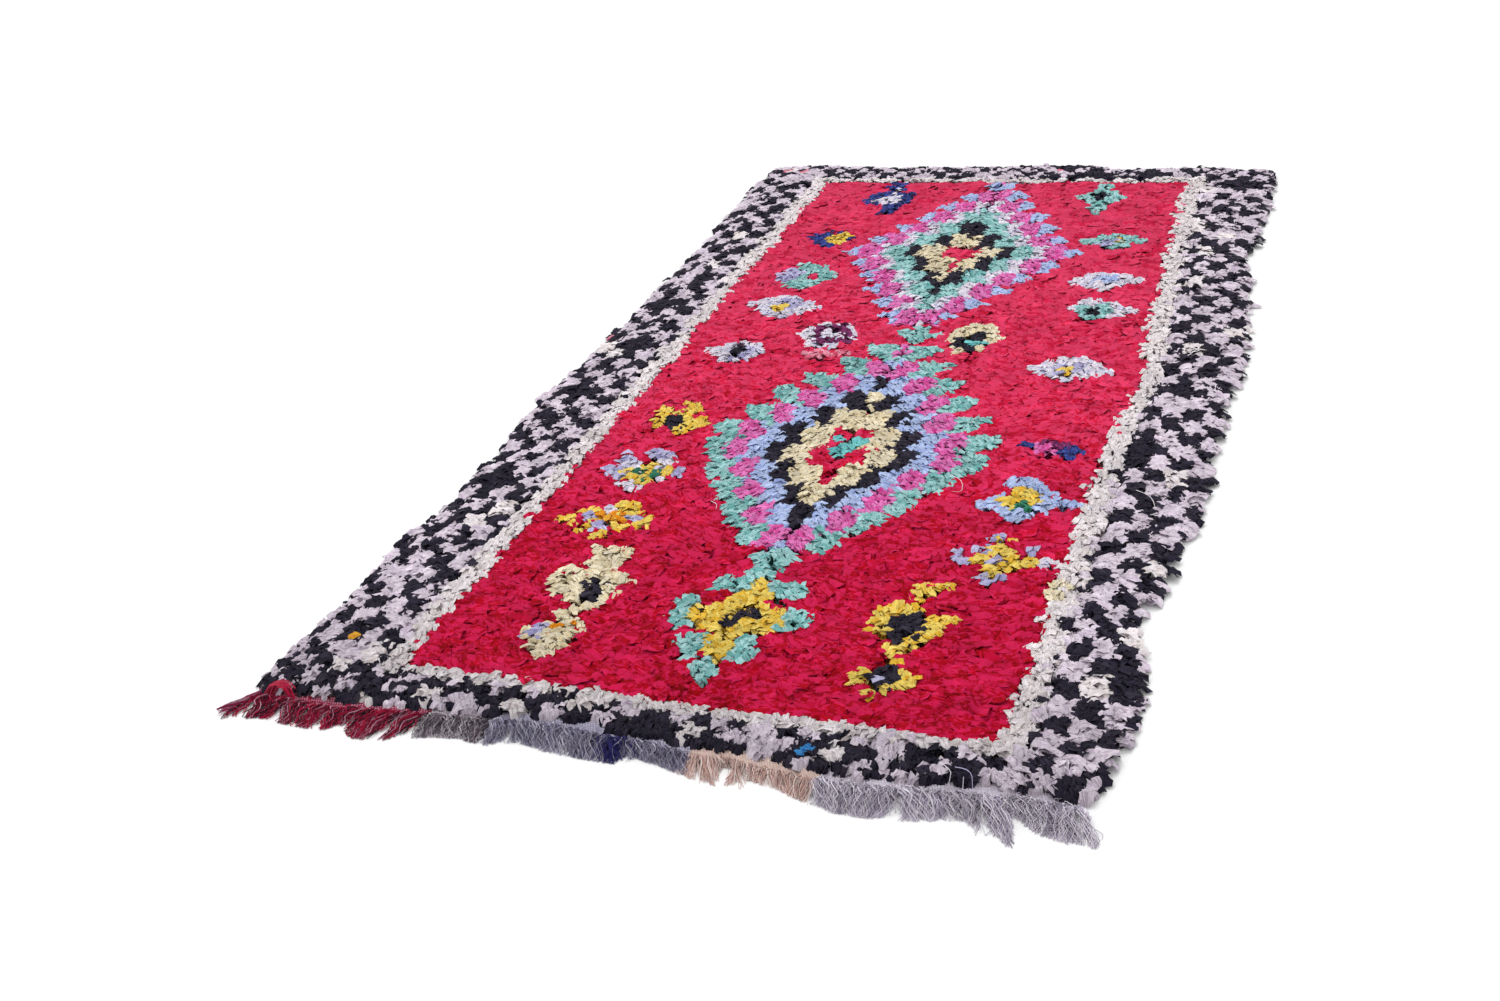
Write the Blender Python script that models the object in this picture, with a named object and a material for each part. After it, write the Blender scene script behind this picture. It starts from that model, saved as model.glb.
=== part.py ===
"""Boucherouite rug: a knotted rag-pile rug lying flat, with a yarn fringe at its near end.

Metres, +Z up. The rug lies on Z = 0 with its length along Y and its fringed end at -Y.
The pile and the ground weave that it is knotted into are one solid, a lumpy slab with locks
of rag at its rim. The fringe is five runs of different yarn, each with its own woven heading.
"""

import math
import random
from collections import namedtuple

import bmesh
import bpy
from mathutils import Vector, noise

# Outline of the pile, and how finely it is divided
NEAR_Y = -1.205
FAR_Y = 1.250
COLUMNS = 33
ROWS = 58

# Where the two long sides stand, at sections along the length
Side = namedtuple("Side", "y left right")
SIDES = (
    Side(-1.205, -0.706, 0.650),
    Side(-1.120, -0.709, 0.672),
    Side(-0.980, -0.689, 0.684),
    Side(-0.760, -0.699, 0.660),
    Side(-0.620, -0.675, 0.676),
    Side(-0.450, -0.684, 0.702),
    Side(-0.150, -0.698, 0.700),
    Side(0.100, -0.680, 0.716),
    Side(0.400, -0.674, 0.702),
    Side(0.620, -0.665, 0.680),
    Side(0.900, -0.684, 0.688),
    Side(1.250, -0.682, 0.696),
)

# How far the two ends stand from NEAR_Y and FAR_Y, at places across the width
End = namedtuple("End", "x near far")
ENDS = (
    End(-0.700, -0.010, 0.000),
    End(-0.600, -0.012, 0.016),
    End(-0.480, -0.002, 0.012),
    End(-0.300, 0.008, -0.001),
    End(-0.085, 0.034, 0.006),
    End(0.040, 0.046, 0.012),
    End(0.240, 0.006, 0.002),
    End(0.340, -0.010, -0.020),
    End(0.550, 0.012, -0.004),
    End(0.690, 0.006, -0.036),
)

# Heights of the pile above the floor
PILE_TOP = 0.0220
SWELL = 0.0030
SWELL_WAVES_PER_METRE = 9.0
TUFT_UNEVEN = 0.0040
TUFT_DRIFT = 0.007
SHOULDER_SHARE = 0.88
RIM_HEIGHT = 0.0140
RIM_UNEVEN = 0.0020
RIM_DRIFT = 0.004

# A lock of rag or a strand of yarn, as shares of its reach and of the size of its root
Step = namedtuple("Step", "out width height")

# Locks of rag at the two long sides and the far end
LOCK_SHARE = 0.92
LOCK_REACH = 0.017
LOCK_UNEVEN = 0.009
LOCK_DRIFT = 0.007
LOCK_STEPS = (Step(0.45, 0.85, 0.80), Step(1.0, 0.45, 0.45))

# Fringe: runs of yarn side by side, each up to end_x, with the reach of its strands
Run = namedtuple("Run", "name end_x reach colour")
RUNS = (
    Run("fringe_raspberry", -0.365, 0.052, (0.36, 0.012, 0.045)),
    Run("fringe_boucle", -0.240, 0.044, (0.105, 0.085, 0.095)),
    Run("fringe_slate", 0.095, 0.042, (0.16, 0.16, 0.24)),
    Run("fringe_tan", 0.300, 0.041, (0.33, 0.17, 0.13)),
    Run("fringe_grey", 0.660, 0.055, (0.40, 0.37, 0.41)),
)
STRANDS_A_COLUMN = 4
STRAND_SHARE = 0.95
STRAND_UNEVEN = 0.007
STRAND_LEAN = 0.012
LEAN_WAVES_PER_METRE = 3.0
STRAND_DRIFT = 0.0015
STRAND_STEPS = (Step(0.35, 0.86, 0.90), Step(0.72, 0.70, 0.76), Step(1.0, 0.40, 0.50))
HEADING_DEPTH = 0.018
HEADING_THICKNESS = 0.0050

# Clearance between pieces that lie side by side
GAP = 0.0004

PILE_COLOUR = (0.56, 0.022, 0.07)
CLOTH_ROUGHNESS = 0.85
SEED = 41


def clear_scene():
    for item in list(bpy.data.objects):
        bpy.data.objects.remove(item)


def eased(table, key, column, at):
    """A column of a table at a place between its rows, on an S-curve from row to row."""
    at = min(max(at, getattr(table[0], key)), getattr(table[-1], key))
    for before, after in zip(table, table[1:]):
        start, end = getattr(before, key), getattr(after, key)
        if at <= end:
            break
    share = (at - start) / (end - start)
    share = share * share * (3 - 2 * share)
    return getattr(before, column) * (1 - share) + getattr(after, column) * share


def plan_point(across, along):
    """The place on the floor of a point of the pile, from its shares of the width and length."""
    y = NEAR_Y + (FAR_Y - NEAR_Y) * along
    left, right = eased(SIDES, "y", "left", y), eased(SIDES, "y", "right", y)
    x = left + (right - left) * across
    near = eased(ENDS, "x", "near", x) * (1 - along) ** 4
    far = eased(ENDS, "x", "far", x) * along**4
    return x, y + near + far


def near_edge(column):
    """A point of the pile's near edge, which runs straight from one whole column to the next."""
    before = min(math.floor(column), COLUMNS - 1)
    start, end = plan_point(before / COLUMNS, 0), plan_point((before + 1) / COLUMNS, 0)
    share = column - before
    return start[0] + (end[0] - start[0]) * share, start[1] + (end[1] - start[1]) * share


def column_nearest(x):
    return min(range(COLUMNS + 1), key=lambda column: abs(near_edge(column)[0] - x))


def floor_slab(columns, rows, place):
    """A closed slab on the floor, its top set by place(column, row), and its bottom faces."""
    bm = bmesh.new()
    top_verts = bmesh.ops.create_grid(bm, x_segments=columns, y_segments=rows, size=1)["verts"]
    for vert in top_verts:
        column = round((vert.co.x + 1) / 2 * columns)
        row = round((vert.co.y + 1) / 2 * rows)
        vert.co = place(column, row)
    bottom = bm.faces[:]
    bmesh.ops.extrude_face_region(bm, geom=bottom)
    for vert in {vert for face in bottom for vert in face.verts}:
        vert.co.z = 0
    bmesh.ops.recalc_face_normals(bm, faces=bm.faces[:])
    return bm, bottom


def upright_faces(bm, is_chosen):
    """The upright faces that is_chosen() takes by their outward direction, in a fixed order."""
    chosen = [face for face in bm.faces if abs(face.normal.z) < 0.3 and is_chosen(face.normal)]
    return sorted(chosen, key=lambda face: face.calc_center_median()[:])


def draw_out(bm, face, out, steps, reach, drift):
    """Draws a tapered, four-sided tongue out of an upright face, its underside on the floor."""
    centre = face.calc_center_median()
    along = Vector((-out.y, out.x, 0))
    root = centre.copy()
    half_width = max(abs((vert.co - root).dot(along)) for vert in face.verts)
    top = max(vert.co.z for vert in face.verts)
    for step in steps:
        face = bmesh.ops.extrude_discrete_faces(bm, faces=[face])["faces"][0]
        offsets = [(vert.co - centre).dot(along) for vert in face.verts]
        sides = [math.copysign(half_width * step.width, offset) for offset in offsets]
        centre = root + out * (reach * step.out) + along * (drift * step.out**2)
        for vert, side in zip(face.verts, sides):
            height = top * step.height if vert.co.z > 0 else 0
            vert.co = (centre.x + along.x * side, centre.y + along.y * side, height)


def add_piece(bm, name, colour, collection):
    mesh = bpy.data.meshes.new(name)
    bm.to_mesh(mesh)
    bm.free()
    material = bpy.data.materials.new(name)
    material.use_nodes = True
    shader = material.node_tree.nodes["Principled BSDF"]
    shader.inputs["Base Color"].default_value = (*colour, 1)
    shader.inputs["Roughness"].default_value = CLOTH_ROUGHNESS
    mesh.materials.append(material)
    collection.objects.link(bpy.data.objects.new(name, mesh))


def pile_top_point(column, row):
    """A point of the pile's top: uneven tufts on a slow swell, lower towards the rim."""
    x, y = plan_point(column / COLUMNS, row / ROWS)
    steps_in = min(column, COLUMNS - column, row, ROWS - row)
    swell = SWELL * noise.noise(Vector((x, y, 0)) * SWELL_WAVES_PER_METRE)
    if steps_in == 0:
        drift = RIM_DRIFT if 0 < row and 0 < column < COLUMNS else 0
        height = RIM_HEIGHT + random.uniform(-RIM_UNEVEN, RIM_UNEVEN)
    else:
        drift = TUFT_DRIFT
        height = PILE_TOP + swell + random.uniform(-TUFT_UNEVEN, TUFT_UNEVEN)
    if steps_in == 1:
        height *= SHOULDER_SHARE
    x += random.uniform(-drift, drift)
    y += random.uniform(-drift, drift)
    return x, y, height


def build_pile(collection):
    """The knotted pile: one lumpy slab, with locks at its rim but for the fringed near end."""
    bm, bottom = floor_slab(COLUMNS, ROWS, pile_top_point)
    bmesh.ops.dissolve_faces(bm, faces=bottom)
    bmesh.ops.recalc_face_normals(bm, faces=bm.faces[:])
    for face in upright_faces(bm, lambda normal: normal.y > -0.7):
        if random.random() < LOCK_SHARE:
            out = Vector((face.normal.x, face.normal.y, 0)).normalized()
            reach = LOCK_REACH + random.uniform(-LOCK_UNEVEN, LOCK_UNEVEN)
            draw_out(bm, face, out, LOCK_STEPS, reach, random.uniform(-LOCK_DRIFT, LOCK_DRIFT))
    add_piece(bm, "pile_slab", PILE_COLOUR, collection)


def build_fringe(run, first_column, last_column, collection):
    """One run of fringe: a woven heading along the near edge, and strands lying on the floor."""
    strands = (last_column - first_column) * STRANDS_A_COLUMN

    def heading_point(strand, row):
        x, y = near_edge(first_column + strand / STRANDS_A_COLUMN)
        if strand == 0:
            x += GAP / 2
        if strand == strands:
            x -= GAP / 2
        return x, y - GAP - HEADING_DEPTH * (1 - row), HEADING_THICKNESS

    bm, _ = floor_slab(strands, 1, heading_point)
    forward = Vector((0, -1, 0))
    for face in upright_faces(bm, lambda normal: normal.y < -0.7):
        if random.random() < STRAND_SHARE:
            x = face.calc_center_median().x
            lean = STRAND_LEAN * noise.noise(Vector((x * LEAN_WAVES_PER_METRE, 0, 0)))
            reach = run.reach + random.uniform(-STRAND_UNEVEN, STRAND_UNEVEN)
            drift = lean + random.uniform(-STRAND_DRIFT, STRAND_DRIFT)
            draw_out(bm, face, forward, STRAND_STEPS, reach, drift)
    add_piece(bm, run.name, run.colour, collection)


def main():
    clear_scene()
    random.seed(SEED)
    collection = bpy.data.collections.new("boucherouite_rug")
    bpy.context.scene.collection.children.link(collection)
    build_pile(collection)
    first_column = 0
    for run in RUNS:
        last_column = column_nearest(run.end_x)
        build_fringe(run, first_column, last_column, collection)
        first_column = last_column


main()
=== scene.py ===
"""Boucherouite rug: every rag strip of its pile, its ground weave and its yarn fringe.

Metres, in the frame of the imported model: +Y along the rug, away from the fringed end, +Z up.
Knots stand in rows on the ground weave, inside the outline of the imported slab. Each knot
carries rag strips, which lean and overlap like shingles and take their cloth from the design.
"""

from collections import namedtuple

import bpy
import numpy as np
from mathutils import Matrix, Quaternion, Vector
from mathutils.bvhtree import BVHTree

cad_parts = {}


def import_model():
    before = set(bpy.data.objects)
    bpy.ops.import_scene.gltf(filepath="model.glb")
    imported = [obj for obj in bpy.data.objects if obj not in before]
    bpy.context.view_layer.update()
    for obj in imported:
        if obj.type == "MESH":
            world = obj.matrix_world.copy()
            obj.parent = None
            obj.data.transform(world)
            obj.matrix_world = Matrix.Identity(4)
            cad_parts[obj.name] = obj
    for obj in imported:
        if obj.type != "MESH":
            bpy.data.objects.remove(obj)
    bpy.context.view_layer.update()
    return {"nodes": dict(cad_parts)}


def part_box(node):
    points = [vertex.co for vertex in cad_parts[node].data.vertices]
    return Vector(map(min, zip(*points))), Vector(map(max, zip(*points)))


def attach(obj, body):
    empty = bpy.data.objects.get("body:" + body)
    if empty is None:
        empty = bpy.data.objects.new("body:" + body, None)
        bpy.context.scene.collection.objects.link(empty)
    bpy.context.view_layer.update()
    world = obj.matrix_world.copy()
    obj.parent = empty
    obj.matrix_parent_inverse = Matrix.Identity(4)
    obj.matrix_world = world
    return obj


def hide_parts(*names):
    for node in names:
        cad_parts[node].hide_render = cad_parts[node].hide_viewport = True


# The photograph's view
CAMERA_PLACE = (0.964, -2.757, 1.457)
CAMERA_AIM = (-0.081, -0.539, 0.022)
CAMERA_ROLL = np.radians(-8.7)
CAMERA_LENS = 36.94
SENSOR_WIDTH = 36.0

# Knots: how far apart they stand, and how far inside the slab's rim
ROW_PITCH = 0.0130
KNOT_PITCH = 0.0120
KNOT_DRIFT = 0.35
RIM_INSET = 0.014
RIM_PROBES = 10
RIM_SHORTER = 0.82

# Strips that hang over the fringe's web: their length, their roots' height, the web left to show
OVER_WEB = 0.75
HANGING_TOP = 0.015
WEB_SHOWN = 0.028

# The ground weave
WEAVE_TOP = 0.0030
WEAVE_CELL = 0.0300
# How much of the weave gets painted shade in its creases
WEAVE_CREASE_SHADE = 0.30
WEAVE_INSET = 0.7
# Painted shade: the weave between the strips is darker than the knots' shade colours
WEAVE_SHADE = 0.8
FLOOR_GAP = 0.0004

# The red field, and the pale line round it
FIELD_LEFT = -0.480
FIELD_NEAR = -1.120
FIELD_FAR = 1.128
Edge = namedtuple("Edge", "y x")
FIELD_RIGHT = (
    Edge(-1.12, 0.520),
    Edge(-0.25, 0.520),
    Edge(0.05, 0.545),
    Edge(0.22, 0.526),
    Edge(0.60, 0.510),
    Edge(0.95, 0.495),
    Edge(1.13, 0.500),
)
LINE_LEFT = 0.040
LINE_RIGHT = 0.038
LINE_NEAR = 0.014
LINE_FAR = 0.018
TOOTH = 0.008
TOOTH_PITCH = 0.031
TOOTH_WANDER = 0.3
TOOTH_WANDER_CELL = 0.2
WANDER = 0.003
WANDER_CELL = 0.04
FIELD_SPLIT = -0.1

# The border's tufts: a grid with some drift, whose dark ones spread over their edge by a share
TUFT_GRID = 80
TUFT_ACROSS = 0.038
TUFT_ALONG = 0.047
TUFT_ALONG_ENDS = 0.035
TUFT_DRIFT = 0.16
TUFT_ODD_SHARE = 0.05
TUFT_DARK_EDGE_LEFT = 0.01
TUFT_DARK_EDGE_RIGHT = -0.05
TUFT_DARK_EDGE_NEAR = 0.09
TUFT_DARK_EDGE_FAR = 0.06
ECRU_FROM = 0.90
ROSE_BELOW = 0.02

# How much higher the middle of a border tuft and a motif stand
TUFT_MOUND = 0.0035
TUFT_MOUND_FALL = 3
TUFT_MOUND_REACH = 0.6
MOTIF_MOUND = 0.0018

# Cloths of the rags: their colour, a shade that some strips have, how many have it, and how
# much of a strip gets painted shade in its creases
Cloth = namedtuple("Cloth", "name colour shade shaded folds")
CLOTHS = (
    Cloth("red", (226, 62, 102), (206, 28, 72), 0.22, 0.3),
    Cloth("white", (230, 217, 230), (216, 203, 218), 0.30, 0.3),
    Cloth("black", (42, 38, 54), (56, 50, 66), 0.25, 0.25),
    Cloth("ecru", (245, 237, 240), (236, 226, 226), 0.35, 0.30),
    Cloth("pink", (238, 132, 200), (220, 82, 162), 0.35, 0.20),
    Cloth("sky", (192, 208, 246), (170, 188, 236), 0.30, 0.20),
    Cloth("teal", (172, 218, 218), (122, 186, 184), 0.35, 0.20),
    Cloth("cream", (244, 232, 204), (232, 216, 178), 0.35, 0.20),
    Cloth("yellow", (246, 218, 110), (238, 192, 60), 0.35, 0.20),
    Cloth("lilac", (200, 196, 230), (170, 166, 210), 0.35, 0.20),
    Cloth("pale", (240, 232, 244), (212, 210, 236), 0.35, 0.20),
    Cloth("navy", (66, 82, 160), (46, 54, 112), 0.35, 0.32),
    Cloth("green", (60, 138, 108), (38, 100, 80), 0.30, 0.20),
    Cloth("orange", (244, 150, 20), (246, 184, 66), 0.30, 0.20),
    Cloth("plum", (140, 56, 112), (98, 30, 80), 0.35, 0.32),
    Cloth("turquoise", (130, 212, 212), (96, 184, 190), 0.30, 0.20),
    Cloth("blue", (70, 150, 214), (40, 110, 180), 0.30, 0.30),
    Cloth("rose", (240, 164, 184), (222, 100, 130), 0.40, 0.32),
    Cloth("crimson", (176, 14, 60), (150, 8, 50), 0.40, 0.10),
)
CODE = {cloth.name: code for code, cloth in enumerate(CLOTHS)}

# Cloths along the rug: painted shade makes the red darker, deeper and cooler towards the near end,
# with more painted crease shade there; the other cloths dim over the last strips at that end
RED_SHADE_Y = (-1.1, -0.7, -0.2, 0.4, 1.1)
RED_CREASE_SHADE = (0.46, 0.42, 0.32, 0.20, 0.12)
RED_BRIGHTNESS = (0.78, 0.82, 0.92, 0.90, 0.86)
RED_DEPTH = (1.28, 1.24, 1.05, 1.0, 1.0)
RED_COOLER = (0.0, -1.3, 0.7)
NEAR_DIM_Y = (-1.18, -0.90)
NEAR_DIM = (0.78, 1.0)
SHADE_UNEVEN = 0.20
BRIGHTNESS_UNEVEN = 0.03

# Motifs: rows of knots from far to near, each with its half width. The outline's rows overhang by
# hook and are notched between. Bands follow from the outline in, each with how far in it starts,
# and how much further at the ends of a row than in its middle.
Band = namedtuple("Band", "cloth start wobble")
Motif = namedtuple("Motif", "x y row hook notch widths bands")


def bands(*rows):
    return tuple(Band(*row) for row in rows)


MOTIFS = (
    Motif(
        0.018, 0.676, 0.0738, 0.004, 0.040,
        (0.045, 0.088, 0.128, 0.170, 0.210, 0.250, 0.292, 0.255, 0.208, 0.170, 0.130, 0.088),
        bands(("sky", 0, 0), ("pink", 0.046, -0.024), ("pale", 0.102, -0.034),
              ("teal", 0.130, -0.030), ("black", 0.180, -0.024), ("cream", 0.217, -0.016),
              ("red", 0.268, -0.010)),
    ),
    Motif(
        0.030, -0.319, 0.0737, 0.024, 0.014,
        (0.072, 0.115, 0.163, 0.211, 0.250, 0.290, 0.285, 0.245, 0.200, 0.158, 0.105, 0.040),
        bands(("teal", 0, 0), ("pink", 0.050, 0.014), ("sky", 0.110, -0.014), ("black", 0.150, 0),
              ("cream", 0.188, 0.002), ("red", 0.248, -0.004)),
    ),
    Motif(0.040, 0.184, 0.026, 0.006, 0, (0.024, 0.046, 0.026), bands(("teal", 0, 0))),
    Motif(0.040, -0.322, 0.026, 0.006, 0, (0.034, 0.012, 0.022), bands(("turquoise", 0, 0))),
)

# The smaller motifs: blocks of one cloth, each with its middle, its half sizes, and how far it
# narrows towards its near and far ends. A later block lies over an earlier one. Open fault, as
# report.md says: a scratch script made most of these rows from places read by eye on the photo.
Patch = namedtuple("Patch", "cloth x y across along taper")
PATCHES = (
    # Star below the medallions
    Patch("teal", 0.028, -0.736, 0.028, 0.037, 0.2),
    Patch("teal", -0.004, -0.807, 0.040, 0.024, 0.2),
    Patch("teal", 0.082, -0.810, 0.050, 0.022, 0.5),
    Patch("teal", -0.061, -0.893, 0.029, 0.039, 0.25),
    Patch("teal", 0.118, -0.886, 0.048, 0.028, 0.7),
    Patch("teal", -0.015, -0.979, 0.036, 0.031, 0.5),
    Patch("teal", 0.074, -0.975, 0.031, 0.030, 0.3),
    Patch("teal", 0.030, -1.036, 0.026, 0.040, 0.3),
    Patch("yellow", 0.036, -0.835, 0.026, 0.048, 0.4),
    Patch("yellow", 0.030, -0.892, 0.066, 0.050, 0.6),
    Patch("yellow", 0.074, -0.896, 0.038, 0.036, 0.4),
    Patch("yellow", 0.028, -0.962, 0.030, 0.044, 0.4),
    Patch("yellow", -0.030, -0.900, 0.036, 0.028, 0.5),
    Patch("black", 0.046, -0.878, 0.026, 0.010, 0.4),
    Patch("black", 0.030, -0.890, 0.012, 0.030, 0.3),
    Patch("black", 0.010, -0.902, 0.010, 0.010, 0.3),
    # Hourglass chain at the left
    Patch("cream", -0.268, -0.756, 0.036, 0.029, 0.1),
    Patch("cream", -0.255, -0.802, 0.026, 0.024, 0.2),
    Patch("cream", -0.308, -0.846, 0.034, 0.036, 0.2),
    Patch("cream", -0.218, -0.829, 0.032, 0.018, 0.7),
    Patch("cream", -0.251, -0.874, 0.049, 0.043, 0.5),
    Patch("cream", -0.264, -0.930, 0.024, 0.024, 0.2),
    Patch("cream", -0.261, -0.998, 0.051, 0.044, 0.4),
    Patch("cream", -0.271, -1.039, 0.014, 0.014, 0.4),
    Patch("black", -0.253, -0.860, 0.027, 0.034, 0.3),
    Patch("lilac", -0.293, -0.990, 0.012, 0.018, 0.2),
    Patch("orange", -0.271, -0.983, 0.014, 0.018, 0.2),
    Patch("orange", -0.247, -0.970, 0.011, 0.009, 0.5),
    # Hooked chain at the right
    Patch("yellow", 0.331, -0.757, 0.026, 0.012, 0.5),
    Patch("yellow", 0.312, -0.776, 0.016, 0.022, 0.3),
    Patch("yellow", 0.301, -0.820, 0.035, 0.018, 0.4),
    Patch("yellow", 0.268, -0.862, 0.019, 0.039, 0.3),
    Patch("yellow", 0.359, -0.848, 0.034, 0.021, 0.7),
    Patch("yellow", 0.332, -0.910, 0.028, 0.019, 0.5),
    Patch("yellow", 0.350, -0.877, 0.019, 0.023, 0.4),
    Patch("yellow", 0.307, -0.946, 0.011, 0.027, 0.2),
    Patch("yellow", 0.313, -0.975, 0.016, 0.016, 0.2),
    Patch("yellow", 0.276, -1.008, 0.019, 0.017, 0.4),
    Patch("yellow", 0.349, -1.003, 0.016, 0.017, 0.5),
    Patch("yellow", 0.311, -1.036, 0.022, 0.014, 0.5),
    Patch("yellow", 0.312, -1.004, 0.044, 0.019, 0.4),
    Patch("black", 0.312, -0.869, 0.030, 0.034, 0.5),
    Patch("black", 0.319, -0.843, 0.012, 0.019, 0.3),
    Patch("black", 0.308, -0.997, 0.030, 0.023, 0.5),
    Patch("lilac", 0.304, -1.010, 0.010, 0.010, 0.3),
    # Crosses and diamonds at the right
    Patch("navy", 0.422, -0.276, 0.057, 0.027, 0.8),
    Patch("navy", 0.464, -0.296, 0.017, 0.012, 0.5),
    Patch("plum", 0.423, -0.268, 0.031, 0.016, 0.5),
    Patch("pink", 0.413, -0.277, 0.023, 0.019, 0.4),
    Patch("sky", 0.414, -0.470, 0.060, 0.066, 0.75),
    Patch("sky", 0.351, -0.483, 0.031, 0.012, 0.6),
    Patch("sky", 0.487, -0.473, 0.035, 0.013, 0.7),
    Patch("sky", 0.399, -0.414, 0.025, 0.018, 0.4),
    Patch("sky", 0.412, -0.521, 0.031, 0.014, 0.5),
    Patch("yellow", 0.406, -0.467, 0.048, 0.037, 0.7),
    Patch("green", 0.419, -0.488, 0.021, 0.018, 0.4),
    Patch("lilac", 0.404, -0.599, 0.018, 0.020, 0.3),
    Patch("lilac", 0.345, -0.657, 0.018, 0.015, 0.5),
    Patch("lilac", 0.456, -0.629, 0.014, 0.013, 0.5),
    Patch("lilac", 0.483, -0.652, 0.011, 0.011, 0.4),
    Patch("lilac", 0.408, -0.711, 0.025, 0.014, 0.4),
    Patch("lilac", 0.372, -0.636, 0.016, 0.013, 0.4),
    Patch("yellow", 0.406, -0.647, 0.019, 0.061, 0.3),
    Patch("yellow", 0.418, -0.660, 0.065, 0.018, 0.5),
    Patch("lilac", 0.401, -0.654, 0.012, 0.011, 0.4),
    # Far motifs at the left
    Patch("navy", -0.260, 0.996, 0.070, 0.042, 0.3),
    Patch("navy", -0.261, 1.065, 0.023, 0.052, 0.3),
    Patch("navy", -0.237, 0.929, 0.025, 0.037, 0.3),
    Patch("pale", -0.260, 0.979, 0.042, 0.034, 0.5),
    Patch("pale", -0.254, 1.030, 0.015, 0.034, 0.2),
    Patch("navy", -0.330, 0.711, 0.064, 0.042, 0.8),
    Patch("yellow", -0.318, 0.712, 0.037, 0.034, 0.5),
    Patch("teal", -0.320, 0.478, 0.082, 0.068, 0.7),
    Patch("lilac", -0.366, 0.482, 0.038, 0.034, 0.5),
    Patch("teal", -0.338, 0.530, 0.024, 0.028, 0.3),
    Patch("red", -0.304, 0.475, 0.022, 0.017, 0.5),
    Patch("pale", -0.317, 0.303, 0.090, 0.054, 0.8),
    Patch("lilac", -0.312, 0.310, 0.042, 0.028, 0.5),
    Patch("yellow", -0.325, 0.296, 0.018, 0.022, 0.3),
    Patch("pale", -0.155, 0.158, 0.071, 0.055, 0.6),
    Patch("plum", -0.188, 0.166, 0.016, 0.030, 0.3),
    Patch("plum", -0.116, 0.160, 0.017, 0.030, 0.3),
    Patch("plum", -0.150, 0.194, 0.026, 0.012, 0.2),
    Patch("plum", -0.152, 0.130, 0.026, 0.012, 0.2),
    Patch("pale", -0.152, 0.162, 0.018, 0.020, 0.3),
    Patch("rose", -0.150, 0.062, 0.035, 0.017, 0.4),
    Patch("rose", -0.097, 0.073, 0.015, 0.011, 0.4),
    # Far motifs at the right
    Patch("teal", 0.296, 1.002, 0.061, 0.045, 0.6),
    Patch("teal", 0.296, 1.002, 0.022, 0.101, 0.3),
    Patch("black", 0.291, 1.010, 0.022, 0.037, 0.5),
    Patch("teal", 0.378, 0.722, 0.086, 0.039, 0.8),
    Patch("lilac", 0.361, 0.714, 0.030, 0.021, 0.4),
    Patch("yellow", 0.383, 0.729, 0.011, 0.018, 0.3),
    Patch("pale", 0.391, 0.491, 0.090, 0.044, 0.75),
    Patch("sky", 0.395, 0.498, 0.036, 0.019, 0.5),
    Patch("pale", 0.411, 0.337, 0.081, 0.039, 0.8),
    Patch("teal", 0.393, 0.330, 0.052, 0.041, 0.6),
    Patch("pale", 0.381, 0.368, 0.025, 0.015, 0.4),
    Patch("black", 0.388, 0.326, 0.022, 0.024, 0.5),
    Patch("cream", 0.163, 0.171, 0.062, 0.067, 0.6),
    Patch("black", 0.160, 0.159, 0.040, 0.039, 0.5),
    Patch("turquoise", 0.187, 0.144, 0.025, 0.014, 0.5),
    Patch("pale", 0.396, 0.050, 0.084, 0.051, 0.75),
    Patch("lilac", 0.392, 0.049, 0.041, 0.031, 0.5),
    Patch("yellow", 0.387, 0.049, 0.020, 0.023, 0.3),
    # Motifs at the left of the lower medallion
    Patch("pale", -0.341, 0.063, 0.079, 0.052, 0.8),
    Patch("lilac", -0.330, 0.060, 0.043, 0.030, 0.5),
    Patch("black", -0.345, 0.063, 0.026, 0.024, 0.5),
    # Flecks of other cloth in the border and the line
    Patch("blue", 0.238, -1.176, 0.010, 0.007, 0.2),
    Patch("red", 0.560, -0.966, 0.010, 0.012, 0.2),
    Patch("pale", 0.490, -0.655, 0.012, 0.014, 0.2),
    Patch("rose", -0.640, 1.222, 0.022, 0.014, 0.2),
    Patch("rose", -0.585, 1.205, 0.012, 0.012, 0.2),
    Patch("rose", 0.146, 1.222, 0.012, 0.010, 0.2),
    Patch("orange", -0.618, -1.058, 0.008, 0.010, 0.2),
    Patch("cream", 0.520, -0.730, 0.016, 0.030, 0.2),
    # Flowers at the left
    Patch("yellow", -0.385, -0.254, 0.019, 0.040, 0.5),
    Patch("yellow", -0.343, -0.232, 0.018, 0.047, 0.3),
    Patch("yellow", -0.343, -0.214, 0.020, 0.019, 0.4),
    Patch("yellow", -0.305, -0.267, 0.030, 0.027, 0.6),
    Patch("yellow", -0.330, -0.295, 0.023, 0.025, 0.5),
    Patch("black", -0.350, -0.265, 0.027, 0.019, 0.5),
    Patch("lilac", -0.326, -0.407, 0.030, 0.023, 0.4),
    Patch("pale", -0.304, -0.433, 0.022, 0.022, 0.4),
    Patch("lilac", -0.388, -0.434, 0.018, 0.021, 0.4),
    Patch("pale", -0.363, -0.452, 0.026, 0.016, 0.3),
    Patch("lilac", -0.401, -0.470, 0.019, 0.014, 0.5),
    Patch("lilac", -0.374, -0.487, 0.019, 0.018, 0.4),
    Patch("lilac", -0.263, -0.466, 0.015, 0.014, 0.5),
    Patch("pale", -0.335, -0.522, 0.028, 0.015, 0.5),
    Patch("pale", -0.288, -0.488, 0.019, 0.012, 0.6),
    Patch("yellow", -0.332, -0.438, 0.015, 0.012, 0.4),
    Patch("yellow", -0.360, -0.475, 0.019, 0.014, 0.4),
    Patch("yellow", -0.329, -0.494, 0.018, 0.018, 0.4),
    Patch("yellow", -0.286, -0.465, 0.012, 0.016, 0.3),
    Patch("yellow", -0.326, -0.466, 0.010, 0.014, 0.3),
    Patch("green", -0.339, -0.468, 0.010, 0.013, 0.4),
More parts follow.
